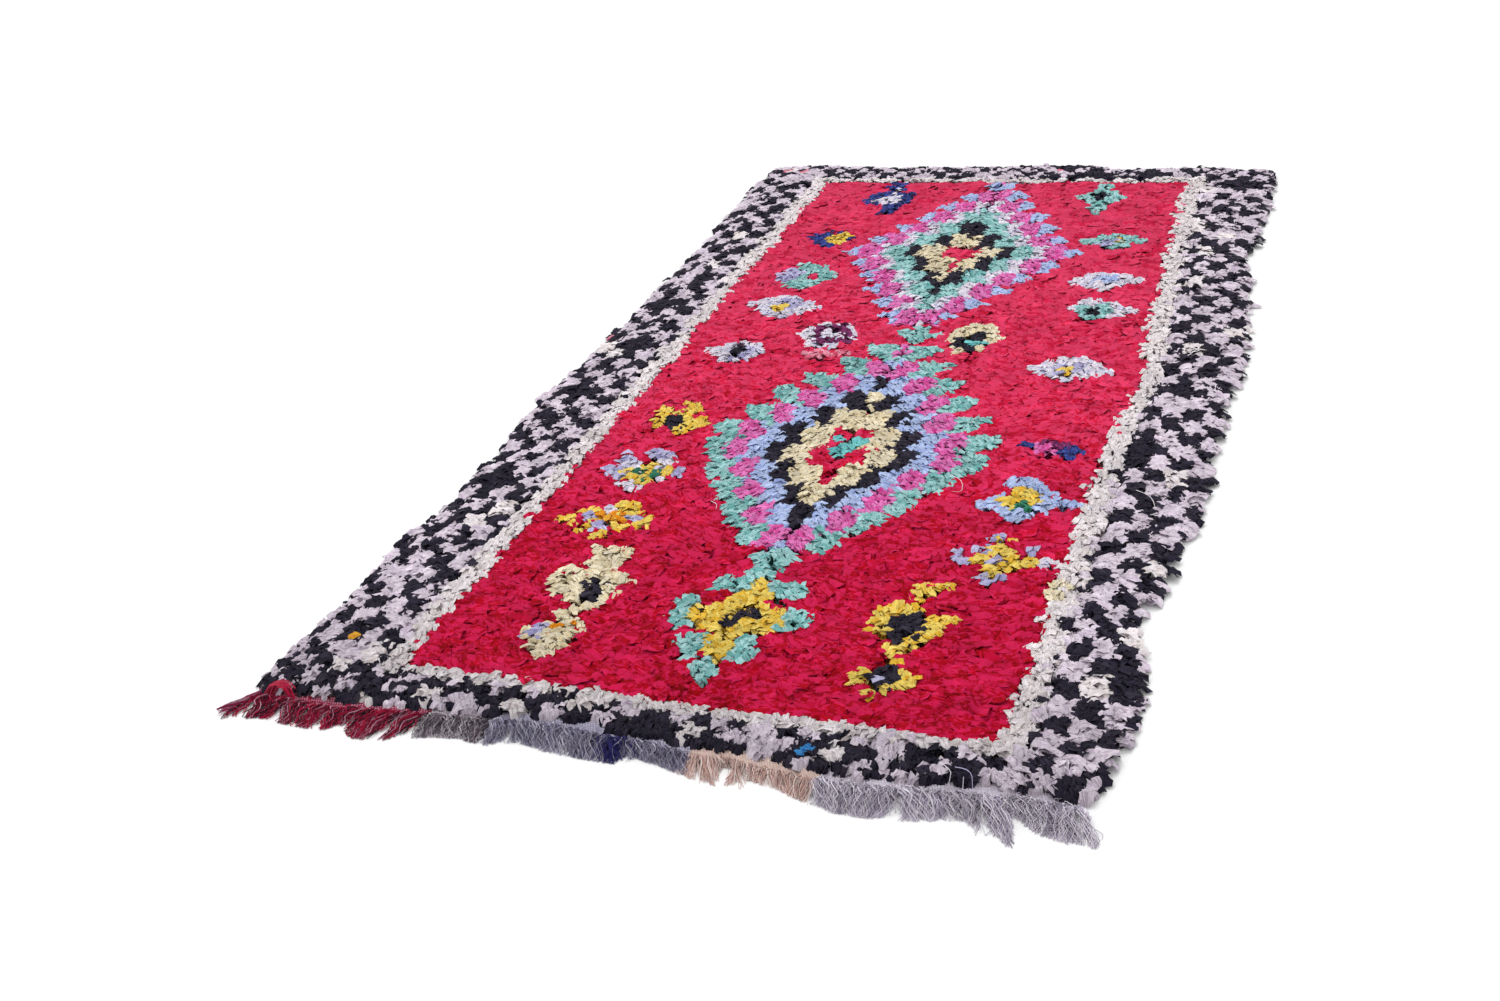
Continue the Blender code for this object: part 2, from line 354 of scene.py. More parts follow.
    Patch("green", -0.309, -0.469, 0.015, 0.020, 0.3),
    Patch("yellow", -0.373, -0.619, 0.018, 0.018, 0.5),
    Patch("yellow", -0.411, -0.651, 0.017, 0.014, 0.5),
    Patch("yellow", -0.368, -0.663, 0.020, 0.020, 0.3),
    Patch("yellow", -0.313, -0.593, 0.023, 0.023, 0.5),
    Patch("yellow", -0.290, -0.612, 0.016, 0.021, 0.5),
    Patch("yellow", -0.252, -0.637, 0.018, 0.020, 0.4),
    Patch("yellow", -0.292, -0.664, 0.017, 0.014, 0.4),
    Patch("yellow", -0.325, -0.698, 0.014, 0.012, 0.6),
    Patch("lilac", -0.366, -0.642, 0.019, 0.013, 0.4),
    Patch("lilac", -0.332, -0.659, 0.019, 0.020, 0.4),
    Patch("lilac", -0.285, -0.634, 0.019, 0.014, 0.4),
    Patch("pale", -0.337, -0.613, 0.014, 0.013, 0.4),
    Patch("orange", -0.329, -0.635, 0.025, 0.014, 0.4),
    Patch("orange", -0.308, -0.634, 0.012, 0.016, 0.4),
)

# Loose threads and loops of yarn on the pile: where each starts and ends, and how it bends
FINE_THREAD = 0.0006
Thread = namedtuple("Thread", "cloth x y end_x end_y bow radius")
THREADS = (
    Thread("pale", 0.262, -0.410, 0.300, -0.462, 0.012, FINE_THREAD),
    Thread("pale", 0.300, -0.462, 0.286, -0.470, 0.004, FINE_THREAD),
    Thread("pale", 0.446, -1.176, 0.462, -1.216, 0.014, FINE_THREAD),
    Thread("pale", 0.462, -1.216, 0.486, -1.196, -0.012, FINE_THREAD),
    Thread("lilac", 0.470, -1.180, 0.500, -1.210, 0.012, FINE_THREAD),
    Thread("pale", -0.150, -0.560, -0.128, -0.590, 0.006, FINE_THREAD),
    Thread("ecru", 0.600, -0.420, 0.640, -0.470, 0.010, FINE_THREAD),
    Thread("black", -0.610, 0.210, -0.660, 0.180, 0.008, FINE_THREAD),
)
THREAD_POINTS = 7
THREAD_LOFT = 0.0085

# Yarns of the near end's left corner that loop back over the pile, each a little off one path
LOOPS = 16
LOOP = Thread("crimson", -0.688, -1.232, -0.630, -1.220, 0.020, 0.0013)
LOOP_STRAY = 0.005
LOOP_LOFT = 0.0050

# Strips of rag in the field, and the narrower ones of the motifs and of the border's tufts
Strip = namedtuple(
    "Strip", "a_knot width length across along crumple crown curl lift droop swing twist"
)
WIDE_STRIP = Strip(1, 0.0350, 0.0260, 4, 3, 0.0006, 0.12, 0.14, 0.0006, 0.0034, 0.34, 0.10)
FINE_STRIP = Strip(3, 0.0105, 0.0240, 2, 3, 0.0007, 0.30, 0.30, 0.0006, 0.0026, 0.32, 0.16)
TUFT_STRIP = Strip(2, 0.0165, 0.0250, 3, 4, 0.0009, 0.22, 0.28, 0.0008, 0.0028, 0.36, 0.12)
FILL_STRIP = Strip(1, 0.0150, 0.0180, 1, 2, 0.0012, 0.20, 0.30, 0.0010, 0.0040, 3.14, 0.20)
LEAST_SIZE = 0.75
MOST_SIZE = 1.25
KNOT_SPREAD = 0.35
DROOP_UNEVEN = 0.0013
SIDE_UNEVEN = 0.13
FLOOR_TIP = 0.0050
SHOWN_AT = 0.6

# How lively the strips lie along the rug, as a share of their lift, droop and crumple
RELIEF_Y = (-1.1, -0.5, 0.2, 1.1)
RELIEF = (1.7, 1.4, 1.0, 0.75)

# A strip's path from root to tip: how far out its two middle points are, and how high
PATH_OUT = (-0.04, 0.45)
PATH_HIGH = (1.12, 1.10)

# Torn edges, rounded tips, pinched roots, and strips that are narrower beside another cloth
RAGGED = 0.09
ROUND_TIP = 0.20
BESIDE = 0.014
NARROWER = 0.45
ROOT_PINCH = 0.45
NEAR_SQUEEZE = 0.90
INNER_TOOTH = 0.35
FLARE = 2.2
HIGHEST = 0.0372

# The way that strips lean, in shares across and along the rug
LEAN_LEFT = -0.30
LEAN_RIGHT = 0.22
LEAN_FAR = 0.8
LEAN_NEAR = -0.9
TUFT_FAN = 0.9
TUFT_LEAN = 0.35
LINE_ASIDE = 0.35
LINE_END_LEAN = -0.25
MOTIF_SCATTER = 0.014
MOTIF_ASIDE = (0.9, 1.7)
MOTIF_LEAN = -0.75
SWIRL = 0.5
SWIRL_CELL = 0.16

# Looks: blotches on every cloth, the broad ones also painted shade of the pile's bulges, creases
# that bump the cloth and paint shade into it, pleats across or along, a fine weave
Blotch = namedtuple("Blotch", "scale detail dark light")
SMALL_BLOTCH = Blotch(90, 3, 0.86, 1.08)
# Broad blotches: random tone that also stands in for painted shade of the pile's bulges
BROAD_SHADE_BLOTCH = Blotch(26, 2, 0.86, 1.12)
BLOTCH_FROM = 0.3
BLOTCH_TO = 0.7
OWN_FOLDS = 4.0
FOLD_HEIGHT = 0.14
FOLD_SHARPNESS = 30.0
CREASE_SHADE_DEPTH = 0.75
CREASE_DETAIL = 4
CREASE_ROUGHNESS = 0.55
CREASE_DISTORTION = 0.6
THREAD_SCALE = 400
THREAD_DISTORTION = 2
THREAD_STRENGTH = 0.3
THREAD_DEPTH = 0.0002
SHEEN_ROUGHNESS = 0.5
SPECULAR = 0.08
EVEN = (1, 1, 1)
ALONG_PLEATS = (1, 0.35, 1)
ACROSS_PLEATS = (0.30, 1, 1)
Look = namedtuple("Look", "roughness sheen crumple crumple_size pleats")
RAG_LOOKS = {
    "rag_field": Look(0.90, 0.0, 0.007, 0.012, ACROSS_PLEATS),
    "rag_motifs": Look(0.88, 0.04, 0.012, 0.006, ALONG_PLEATS),
    "rag_border": Look(0.90, 0.03, 0.012, 0.009, ALONG_PLEATS),
}
WEAVE_LOOK = Look(0.9, 0.1, 0.0008, 0.003, EVEN)
YARN_LOOK = Look(0.92, 0.12, 0.003, 0.003, EVEN)

# Light
SKY_STRENGTH = 0.95
SUN_STRENGTH = 0.95
SUN_ANGLE = 0.45
SUN_FROM = (-0.35, 0.55, 1.0)

# Fringe: yarns of five kinds, and how far out the loose ends reach along the near edge
Yarn = namedtuple("Yarn", "node slot strands radius wave turns fluff clump pull lean colours web")
YARNS = (
    Yarn("fringe_raspberry", "raspberry_yarn", 440, 0.0013, 0.0052, 5, 0.004, 0.026, 0.50, -0.10,
         ((158, 8, 58), (112, 4, 44), (182, 18, 68), (54, 4, 34), (172, 12, 62), (200, 140, 164)),
         (216, 160, 184)),
    Yarn("fringe_boucle", "boucle_yarn", 520, 0.0010, 0.0052, 8, 0.007, 0.018, 0.30, 0.05,
         ((176, 164, 174), (130, 118, 130), (210, 202, 210), (92, 82, 92)), (222, 214, 222)),
    Yarn("fringe_slate", "slate_yarn", 1250, 0.0007, 0.0048, 5, 0.010, 0.016, 0.25, 0.20,
         ((170, 164, 188), (208, 202, 220), (100, 96, 124), (150, 144, 170)), (206, 204, 222)),
    Yarn("fringe_tan", "tan_yarn", 560, 0.0007, 0.0022, 3, 0.005, 0.014, 0.45, 0.25,
         ((232, 198, 190), (206, 166, 156), (242, 220, 214)), (232, 216, 200)),
    Yarn("fringe_grey", "grey_yarn", 1400, 0.00075, 0.0052, 6, 0.011, 0.018, 0.30, 0.25,
         ((226, 216, 232), (236, 230, 240), (204, 194, 212), (168, 158, 180)), (230, 224, 234)),
)
Reach = namedtuple("Reach", "x y")
REACHES = (
    Reach(-0.700, -1.286), Reach(-0.660, -1.270), Reach(-0.580, -1.276), Reach(-0.540, -1.276),
    Reach(-0.505, -1.256), Reach(-0.470, -1.282), Reach(-0.410, -1.280), Reach(-0.370, -1.256),
    Reach(-0.300, -1.246), Reach(-0.250, -1.252), Reach(-0.220, -1.236), Reach(-0.130, -1.248),
    Reach(-0.040, -1.250), Reach(-0.010, -1.228), Reach(0.070, -1.248), Reach(0.112, -1.262),
    Reach(0.128, -1.222), Reach(0.142, -1.222), Reach(0.156, -1.262), Reach(0.178, -1.240),
    Reach(0.250, -1.260), Reach(0.310, -1.278), Reach(0.370, -1.278), Reach(0.440, -1.262),
    Reach(0.500, -1.252), Reach(0.532, -1.290), Reach(0.546, -1.242), Reach(0.562, -1.232),
    Reach(0.600, -1.260), Reach(0.650, -1.268), Reach(0.690, -1.240),
)
WEB_EDGES = (
    Reach(-0.705, -1.222), Reach(-0.640, -1.226), Reach(-0.570, -1.226), Reach(-0.525, -1.228),
    Reach(-0.481, -1.222), Reach(-0.412, -1.212), Reach(-0.344, -1.214), Reach(-0.283, -1.210),
    Reach(-0.216, -1.202), Reach(-0.147, -1.200), Reach(-0.076, -1.203), Reach(-0.005, -1.210),
    Reach(0.079, -1.216), Reach(0.140, -1.212), Reach(0.192, -1.221), Reach(0.301, -1.230),
    Reach(0.358, -1.228), Reach(0.428, -1.219), Reach(0.483, -1.212), Reach(0.579, -1.208),
    Reach(0.671, -1.206),
)

# Navy yarns among the slate ones, and the crimson yarns that hang together at the left corner
NAVY = (46, 42, 112)
NAVY_X = -0.045
NAVY_SPREAD = 0.020
TASSEL_ROOT = (-0.690, -1.206)
TASSEL_TIP = (-0.738, -1.280)
TASSEL_YARNS = 26
TASSEL_COLOURS = ((176, 84, 118), (150, 44, 84), (196, 150, 170))
TASSEL_RADIUS = 0.0013
TASSEL_SPREAD = 0.0050
TASSEL_HEIGHT = 0.0075
TASSEL_TURN = 6

# The woven web of each run, and how finely the slab's near edge is found
EDGE_MARGIN = 0.075
EDGE_PROBE = 0.002
EDGE_SEARCH = 0.10
WEB_CELL = 0.0023
WEB_GROUND = 0.75
WEB_DOTS = 0.85
WEB_RIPPLE = 0.0016
WEB_TUCK = 0.012
WEB_LEAST = 0.006
WEB_TOP = 0.0050
WEB_WANDER = 0.002
WEB_WANDER_CELL = 0.012
WEB_SWELL = 0.0015
WEB_SWELL_CELL = 0.02

# Loose yarns: how finely they are drawn, and how far they stray
STRAND_POINTS = 7
TUBE_SIDES = 3
STRAY = 0.006
SHORTFALL = 0.008
OVERREACH = 0.004
SHORTEST = 0.008
CLUMP_WANDER = 0.8
CLUMP_WANDER_CELL = 0.05
CLUMP_SWAY = 0.25
SWAY_LEAN = 0.35
COLOUR_UNEVEN = 0.10
LOFT_LIMIT = 0.020
# How much of a yarn gets painted shade in its creases
YARN_CREASE_SHADE = 0.08

SEED = 23


def linear(rgb):
    """A colour of 0 to 255 in linear light."""
    value = np.asarray(rgb, dtype=float) / 255
    return np.where(value <= 0.04045, value / 12.92, ((value + 0.055) / 1.055) ** 2.4)


def smooth_noise(x, y, cell, seed):
    """Smooth noise from -1 to 1 at places on the floor, with features about one cell wide."""
    def corner(i, j):
        mixed = np.sin(i * 127.1 + j * 311.7 + seed * 74.7) * 43758.5453
        return (mixed - np.floor(mixed)) * 2 - 1

    u, v = x / cell, y / cell
    i, j = np.floor(u), np.floor(v)
    u, v = u - i, v - j
    u, v = u * u * (3 - 2 * u), v * v * (3 - 2 * v)
    near = corner(i, j) * (1 - u) + corner(i + 1, j) * u
    far = corner(i, j + 1) * (1 - u) + corner(i + 1, j + 1) * u
    return near * (1 - v) + far * v


class Slab:
    """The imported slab, read from above: where it lies and how high it is."""

    def __init__(self, node):
        mesh = node.data
        corners = [vert.co.copy() for vert in mesh.vertices]
        self.tree = BVHTree.FromPolygons(corners, [face.vertices[:] for face in mesh.polygons])
        self.low, self.high = (np.array(corner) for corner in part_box(node.name))

    def heights(self, x, y):
        """The slab's height under each place, or 0 beside it."""
        down = Vector((0, 0, -1))
        found = np.zeros(len(x))
        for index, (px, py) in enumerate(zip(x.tolist(), y.tolist())):
            place = self.tree.ray_cast(Vector((px, py, 1)), down)[0]
            if place is not None:
                found[index] = place.z
        return found

    def well_inside(self, x, y, inset):
        """Whether each place is at least that far inside the rim, locks left out."""
        inside = np.ones(len(x), dtype=bool)
        for angle in np.linspace(0, 2 * np.pi, RIM_PROBES, endpoint=False):
            left = np.flatnonzero(inside)
            probe_x = x[left] + inset * np.cos(angle)
            probe_y = y[left] + inset * np.sin(angle)
            inside[left] = self.heights(probe_x, probe_y) > 0
        return inside


def knot_places(slab, rng):
    """Where the knots stand: rows across the rug, each knot a little out of line."""
    rows = np.arange(slab.low[1], slab.high[1], ROW_PITCH)
    steps = np.arange(slab.low[0], slab.high[0], KNOT_PITCH)
    x, y = (grid.ravel() for grid in np.meshgrid(steps, rows))
    x = x + rng.uniform(-KNOT_DRIFT, KNOT_DRIFT, len(x)) * KNOT_PITCH
    y = y + rng.uniform(-KNOT_DRIFT, KNOT_DRIFT, len(y)) * ROW_PITCH
    kept = slab.well_inside(x, y, RIM_INSET)
    between = (x > slab.low[0] + EDGE_MARGIN) & (x < slab.high[0] - EDGE_MARGIN)
    near = np.flatnonzero(between & (y < FIELD_NEAR))
    hanging = y[near] > web_edge(x[near]) + WEB_SHOWN
    hanging &= y[near] < near_edge_of(slab, x[near]) + RIM_INSET
    kept[near[hanging]] = True
    return x[kept], y[kept]


def field_right(y):
    return np.interp(y, [edge.y for edge in FIELD_RIGHT], [edge.x for edge in FIELD_RIGHT])


def tufts(x, y):
    """For each place, its offset from its border tuft's middle, whether that is dark, and luck."""
    rng = np.random.default_rng(SEED)
    grid = (TUFT_GRID, TUFT_GRID)
    drift = rng.uniform(-TUFT_DRIFT, TUFT_DRIFT, (*grid, 2))
    odd = rng.random(grid) < TUFT_ODD_SHARE
    luck = rng.random(grid)
    beside_field = np.clip(y, FIELD_NEAR, FIELD_FAR)
    u = x / TUFT_ACROSS
    v = beside_field / TUFT_ALONG + (y - beside_field) / TUFT_ALONG_ENDS
    column, row = np.floor(u).astype(int), np.floor(v).astype(int)
    best = np.full(len(x), np.inf)
    off_u, off_v = np.zeros(len(x)), np.zeros(len(x))
    dark, number = np.zeros(len(x), dtype=bool), np.zeros(len(x))
    darker = np.where(x < 0, TUFT_DARK_EDGE_LEFT, TUFT_DARK_EDGE_RIGHT)
    darker = np.where(y < FIELD_NEAR, TUFT_DARK_EDGE_NEAR, darker)
    darker = np.where(y > FIELD_FAR, TUFT_DARK_EDGE_FAR, darker)
    for across in (-1, 0, 1):
        for along in (-1, 0, 1):
            i, j = column + across, row + along
            cell = (i % TUFT_GRID, j % TUFT_GRID)
            du = u - (i + 0.5 + drift[cell][:, 0])
            dv = v - (j + 0.5 + drift[cell][:, 1])
            is_dark = ((i + j) % 2 == 0) ^ odd[cell]
            distance = np.maximum(np.abs(du), np.abs(dv)) - darker * is_dark
            closer = distance < best
            best = np.where(closer, distance, best)
            off_u, off_v = np.where(closer, du, off_u), np.where(closer, dv, off_v)
            dark = np.where(closer, is_dark, dark)
            number = np.where(closer, luck[cell], number)
    return off_u, off_v, dark, number


def motif_cloth(motif, x, y):
    """The cloth of each place under one motif, or -1 outside it."""
    rows = len(motif.widths)
    along = (motif.y - y) / motif.row + rows / 2
    row = np.floor(along).astype(int)
    within = (row >= 0) & (row < rows)
    widths = np.array(motif.widths)[np.clip(row, 0, rows - 1)]
    in_row = np.clip(along - row, 0, 1)
    from_middle = np.abs(2 * in_row - 1)
    overhang = motif.hook * (1 - 2 * in_row) * np.where(row < rows / 2, 1, 0.4)
    tooth = overhang - motif.notch * from_middle
    straight = widths - np.abs(x - motif.x)
    within &= straight + tooth > 0
    cloth = np.full(len(x), -1)
    for number, band in enumerate(motif.bands):
        depth = straight + tooth * (1 if number == 0 else INNER_TOOTH)
        if rows > 6:
            depth = depth / np.where(row < rows / 2, 1, NEAR_SQUEEZE)
        here = within & (depth > band.start + band.wobble * from_middle)
        cloth[here] = CODE[band.cloth]
    return cloth


def design(x, y):
    """The cloth of each place: red field, pale line, motifs or the border's tufts."""
    x = x + WANDER * smooth_noise(x, y, WANDER_CELL, 3)
    y = y + WANDER * smooth_noise(x, y, WANDER_CELL, 4)
    wander = TOOTH_WANDER * smooth_noise(x, y, TOOTH_WANDER_CELL, 6)
    tooth = TOOTH * (1 - 2 * np.mod(y / TOOTH_PITCH + wander, 1))
    right = field_right(y) + tooth
    left = FIELD_LEFT + tooth
    in_field = (x > left) & (x < right) & (y > FIELD_NEAR) & (y < FIELD_FAR)
    in_line = (x > left - LINE_LEFT) & (x < right + LINE_RIGHT)
    in_line &= (y > FIELD_NEAR - LINE_NEAR) & (y < FIELD_FAR + LINE_FAR) & ~in_field
    _, _, dark, number = tufts(x, y)
    cloth = np.where(dark, CODE["black"], CODE["white"])
    cloth = np.where(~dark & (number > ECRU_FROM), CODE["ecru"], cloth)
    cloth = np.where(~dark & (number < ROSE_BELOW), CODE["rose"], cloth)
    cloth[in_line] = CODE["ecru"]
    cloth[in_field] = CODE["red"]
    motif_at = np.full(len(x), -1)
    for index, motif in enumerate(MOTIFS):
        found = motif_cloth(motif, x, y)
        here = (found >= 0) & in_field
        cloth[here] = found[here]
        motif_at[here] = index
    for index, patch in enumerate(PATCHES):
        off_x, off_y = np.abs(x - patch.x) / patch.across, np.abs(y - patch.y) / patch.along
        here = (off_y < 1) & (off_x < 1 - patch.taper * off_y)
        cloth[here] = CODE[patch.cloth]
        motif_at[here] = len(MOTIFS) + index
    return cloth, in_field, in_line, motif_at


def strip_headings(x, y, in_field, in_line, motif_at, rng):
    """The way that each knot's strips lean: to the near end in the field, outwards elsewhere."""
    out_x = np.where(x < FIELD_LEFT, -1.0, 0.0) + np.where(x > field_right(y), 1.0, 0.0)
    out_y = np.where(x < 0, LEAN_LEFT, LEAN_RIGHT)
    out_y = np.where(y > FIELD_FAR, LEAN_FAR, out_y)
    out_y = np.where(y < FIELD_NEAR, LEAN_NEAR, out_y)
    fan_x, fan_y, _, number = tufts(x, y)
    lean = 2 * np.pi * number
    border_x = out_x + TUFT_FAN * fan_x + TUFT_LEAN * np.cos(lean)
    border_y = out_y + TUFT_FAN * fan_y + TUFT_LEAN * np.sin(lean)
    side = np.sign(rng.normal(0, 1, len(x)))
    at_end = (y < FIELD_NEAR) | (y > FIELD_FAR)
    line_x = np.where(at_end, side, LINE_ASIDE * side)
    line_y = np.where(at_end, LINE_END_LEAN, -1.0)
    centres = np.array([item.x for item in MOTIFS + PATCHES])
    offset = x - centres[motif_at] + rng.normal(0, MOTIF_SCATTER, len(x))
    motif_x = np.sign(offset) * rng.uniform(*MOTIF_ASIDE, len(x))
    swirl = SWIRL * smooth_noise(x, y, SWIRL_CELL, 5)
    heading_x = np.where(motif_at >= 0, motif_x, swirl)
    heading_y = np.where(motif_at >= 0, MOTIF_LEAN, -1.0)
    heading_x = np.where(in_field, heading_x, np.where(in_line, line_x, border_x))
    heading_y = np.where(in_field, heading_y, np.where(in_line, line_y, border_y))
    return np.arctan2(heading_y, heading_x)


def strip_mesh(name, strip, x, y, heading, share, slab, cloth, mound_of, rng):
    """One mesh of rag strips, a leaf of small quads for each, with its colour and its own UVs."""
    x, y = np.repeat(x, strip.a_knot), np.repeat(y, strip.a_knot)
    heading, cloth = np.repeat(heading, strip.a_knot), np.repeat(cloth, strip.a_knot)
    count = len(x)
    heading = heading + rng.normal(0, strip.swing, count)
    spot = strip.width * KNOT_SPREAD * (strip.a_knot > 1)
    x, y = x + rng.uniform(-spot, spot, count), y + rng.uniform(-spot, spot, count)
    length = strip.length * rng.uniform(LEAST_SIZE, MOST_SIZE, count)
    width = strip.width * rng.uniform(LEAST_SIZE, MOST_SIZE, count)
    width = width * np.repeat(share, strip.a_knot)
    forward = np.stack([np.cos(heading), np.sin(heading)], axis=1)
    aside = np.stack([-forward[:, 1], forward[:, 0]], axis=1)
    root_top = slab.heights(x, y)
    tip_top = slab.heights(x + forward[:, 0] * length, y + forward[:, 1] * length)
    hanging = (y < FIELD_NEAR) & (np.abs(x) < slab.high[0] - EDGE_MARGIN)
    root_top = np.where(hanging, np.maximum(root_top, HANGING_TOP), root_top)
    over_web = hanging & (y + forward[:, 1] * length < web_edge(x) + WEB_SHOWN)
    length = length * np.where(over_web, OVER_WEB, np.where(tip_top > 0, 1, RIM_SHORTER))

    relief = np.interp(y, RELIEF_Y, RELIEF)
    over = rng.normal(0, strip.lift, count) * relief
    droop = rng.normal(strip.droop, DROOP_UNEVEN, count) * relief
    mound = mound_of(x + 0.5 * forward[:, 0] * length, y + 0.5 * forward[:, 1] * length)
    path_out = np.stack(
        [0 * length, PATH_OUT[0] * length, PATH_OUT[1] * length, length], axis=1
    )
    tip_z = np.where(tip_top > 0, tip_top + over + mound - droop, FLOOR_TIP + np.abs(over))
    path_z = np.stack([
        np.full(count, WEAVE_TOP), root_top * PATH_HIGH[0] + mound,
        root_top * PATH_HIGH[1] + over + mound, tip_z,
    ], axis=1)
    s = np.linspace(0, 1, strip.along + 1)
    weights = np.stack([(1 - s) ** 3, 3 * s * (1 - s) ** 2, 3 * s**2 * (1 - s), s**3])
    out, height = path_out @ weights, path_z @ weights

    t = np.linspace(-1, 1, strip.across + 1)
    flare = ROOT_PINCH + (1 - ROOT_PINCH) * np.minimum(1, s * FLARE)
    shape = (count, strip.along + 1, strip.across + 1)
    half = (width / 2)[:, None, None] * flare[None, :, None]
    side = half * (t[None, None, :] + rng.normal(0, SIDE_UNEVEN, shape))
    ragged = rng.normal(0, RAGGED, shape) - ROUND_TIP * (t**2)[None, None, :]
    ragged = ragged * (s**3)[None, :, None] * length[:, None, None]
    out = out[:, :, None] + ragged
    curl = rng.normal(-strip.crown, strip.curl, count)[:, None, None]
    twist = rng.normal(0, strip.twist, count)[:, None, None] * s[None, :, None]
    height = height[:, :, None] + (curl * (t**2)[None, None, :] + twist * t[None, None, :]) * half
    crumple = rng.normal(0, strip.crumple, shape) * relief[:, None, None]
    height = height + crumple * np.minimum(1, s * 3)[None, :, None]
    height = np.clip(height, WEAVE_TOP * 0.6, HIGHEST)
    verts = np.stack([
        x[:, None, None] + forward[:, 0, None, None] * out + aside[:, 0, None, None] * side,
        y[:, None, None] + forward[:, 1, None, None] * out + aside[:, 1, None, None] * side,
        height,
    ], axis=-1)

    local = grid_quads(strip.along, strip.across)
    per_strip = (strip.along + 1) * (strip.across + 1)
    faces = (np.arange(count)[:, None, None] * per_strip + local[None]).reshape(-1, 4)
    cells = int(np.ceil(np.sqrt(count)))
    cell_u, cell_v = np.arange(count) % cells, np.arange(count) // cells
    inner = np.linspace(0.06, 0.94, strip.across + 1), np.linspace(0.06, 0.94, strip.along + 1)
    u = (cell_u[:, None, None] + inner[0][None, None, :] + 0 * side) / cells
    v = (cell_v[:, None, None] + inner[1][None, :, None] + 0 * side) / cells
    uv = np.stack([u, v], axis=-1).reshape(-1, 2)
    colour = strip_colours(cloth, y, rng)
    colours = np.repeat(colour, per_strip, axis=0)
    own = rng.uniform(0, OWN_FOLDS, count)[:, None, None] + 0 * side
    lie = np.stack([side, (s * strip.length)[None, :, None] + 0 * side, own], axis=-1)
    piece = mesh_object(name, verts.reshape(-1, 3), faces, uv, colours)
    add_lie(piece, lie.reshape(-1, 3))
    return piece


def add_lie(piece, lie):
    """Where each point is on its own strip or yarn: across it, along it, and the strip's number."""
    layer = piece.data.attributes.new("lie", "FLOAT_VECTOR", "POINT")
    layer.data.foreach_set("vector", lie.astype(np.float32).ravel())


def strip_colours(cloth, y, rng):
    """A colour for each strip: its cloth's, or the shade that some have, a little uneven, with the
    red's painted shade towards the near end, and how much of it gets painted shade in its creases.
    """
    plain = linear([item.colour for item in CLOTHS])
    shade = linear([item.shade for item in CLOTHS])
    share = np.array([item.shaded for item in CLOTHS])[cloth]
    shaded = rng.normal(0, SHADE_UNEVEN, len(cloth)) + (rng.random(len(cloth)) < share)
    shaded = np.clip(shaded, 0, 1)
    colour = plain[cloth] * (1 - shaded[:, None]) + shade[cloth] * shaded[:, None]
    # Painted shade: the red is darker, deeper and cooler towards the near end; the other cloths dim
    # at the near edge; each strip a little uneven at random
    red = cloth == CODE["red"]
    depth = np.where(red, np.interp(y, RED_SHADE_Y, RED_DEPTH), 1)
    dim = np.interp(y, NEAR_DIM_Y, NEAR_DIM)
    dimming = np.where(red, np.interp(y, RED_SHADE_Y, RED_BRIGHTNESS), dim)
    dimming = dimming * rng.normal(1, BRIGHTNESS_UNEVEN, len(cloth))
    colour = colour ** depth[:, None] * dimming[:, None]
    cooler = 1 + red[:, None] * (depth[:, None] - 1) * np.array(RED_COOLER)
    colour = colour * cooler
    # Painted shade in the creases: how much of each strip gets it, for the red more towards the
    # near end
    folds = np.array([item.folds for item in CLOTHS])[cloth]
    folds = np.where(red, np.interp(y, RED_SHADE_Y, RED_CREASE_SHADE), folds)
    return np.concatenate([colour, folds[:, None]], axis=1)


def grid_quads(rows, columns):
    """The quads of a grid of points, row by row."""
    start = (np.arange(rows)[:, None] * (columns + 1) + np.arange(columns)[None, :]).ravel()
    return np.stack([start, start + 1, start + columns + 2, start + columns + 1], axis=1)


def mesh_object(name, verts, faces, uv, colours):
    """An object from arrays: points, quads, a UV for each point and a colour for each point."""
    mesh = bpy.data.meshes.new(name)
    mesh.vertices.add(len(verts))
    mesh.vertices.foreach_set("co", verts.astype(np.float32).ravel())
    mesh.loops.add(faces.size)
    mesh.loops.foreach_set("vertex_index", faces.astype(np.int32).ravel())
    mesh.polygons.add(len(faces))
    mesh.polygons.foreach_set("loop_start", np.arange(0, faces.size, 4, dtype=np.int32))
    layer = mesh.uv_layers.new(name="OFBake")
    layer.data.foreach_set("uv", uv[faces.ravel()].astype(np.float32).ravel())
    cloth = mesh.color_attributes.new("cloth", "FLOAT_COLOR", "POINT")
    cloth.data.foreach_set("color", np.clip(colours, 0, 1).astype(np.float32).ravel())
    mesh.update(calc_edges=True)
    mesh.validate()
    mesh.shade_smooth()
    piece = bpy.data.objects.new(name, mesh)
    bpy.context.scene.collection.objects.link(piece)
    return piece


